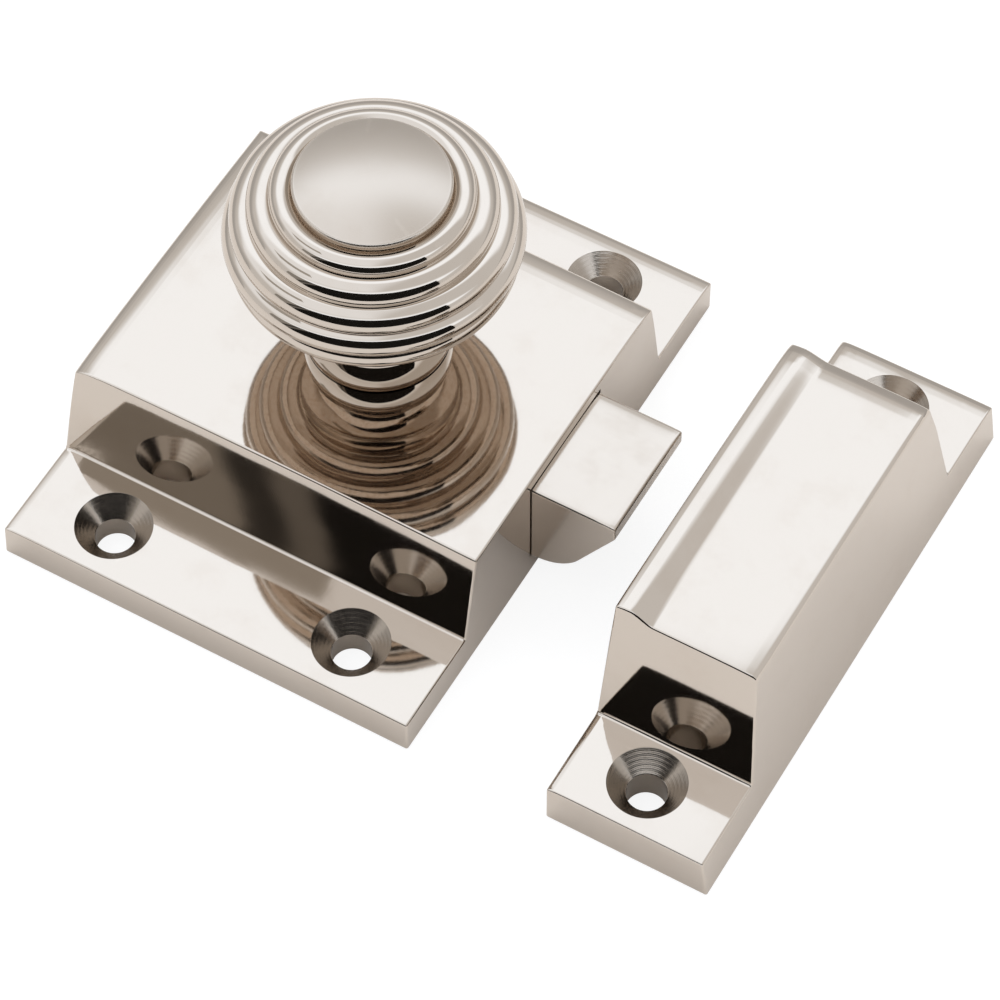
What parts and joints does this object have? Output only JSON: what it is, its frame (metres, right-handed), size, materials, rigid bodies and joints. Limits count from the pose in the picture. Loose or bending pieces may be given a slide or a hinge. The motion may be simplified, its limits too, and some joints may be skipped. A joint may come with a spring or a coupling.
{
  "type": "cupboard catch latch",
  "caption": "Surface-mounted cupboard catch with a reeded turning knob, a bevelled spring bolt and a separate screw-on keeper, in polished nickel.",
  "frame": {"origin": "on the back of the case, on the bolt's centre line, level with the knob", "axes": "+X along the bolt towards the keeper, +Y along the case from flange to flange, +Z away from the door, along the knob's axis"},
  "size_m": [0.0818, 0.0636, 0.0429],
  "materials": {
    "nickel": "polished nickel plate on cast brass",
    "nickel_satin": "nickel plate on brass, linished",
    "brass": "raw brass",
    "steel": "zinc plated",
    "spring_steel": "bright spring wire"
  },
  "bodies": {
    "case": {"case": "nickel", "back_cover": "brass", "cover_screws": "steel", "keeper": "nickel", "bolt_spring": "spring_steel"},
    "knob": {"knob": "nickel", "spindle": "steel", "spacer": "brass", "cam": "brass", "cam_clip": "steel"},
    "bolt": {"bolt": "nickel_satin", "spring_guide": "steel"}
  },
  "joints": [
    {"name": "knob_turn", "type": "hinge", "parent": "case", "child": "knob", "pos_m": [0, 0.0009, 0.03], "axis": [0, 0, 1], "range_deg": [0, 70], "stiffness_Nm_per_rad": 0.0145, "springref_deg": -65.89},
    {"name": "bolt_slide", "type": "slide", "parent": "case", "child": "bolt", "axis": [1, 0, 0], "range_m": [-0.0085, 0], "deforming": ["bolt_spring"]}
  ],
  "couplings": [
    {"joint": "bolt_slide", "follows": "knob_turn", "m_per_rad": -0.0069573}
  ]
}
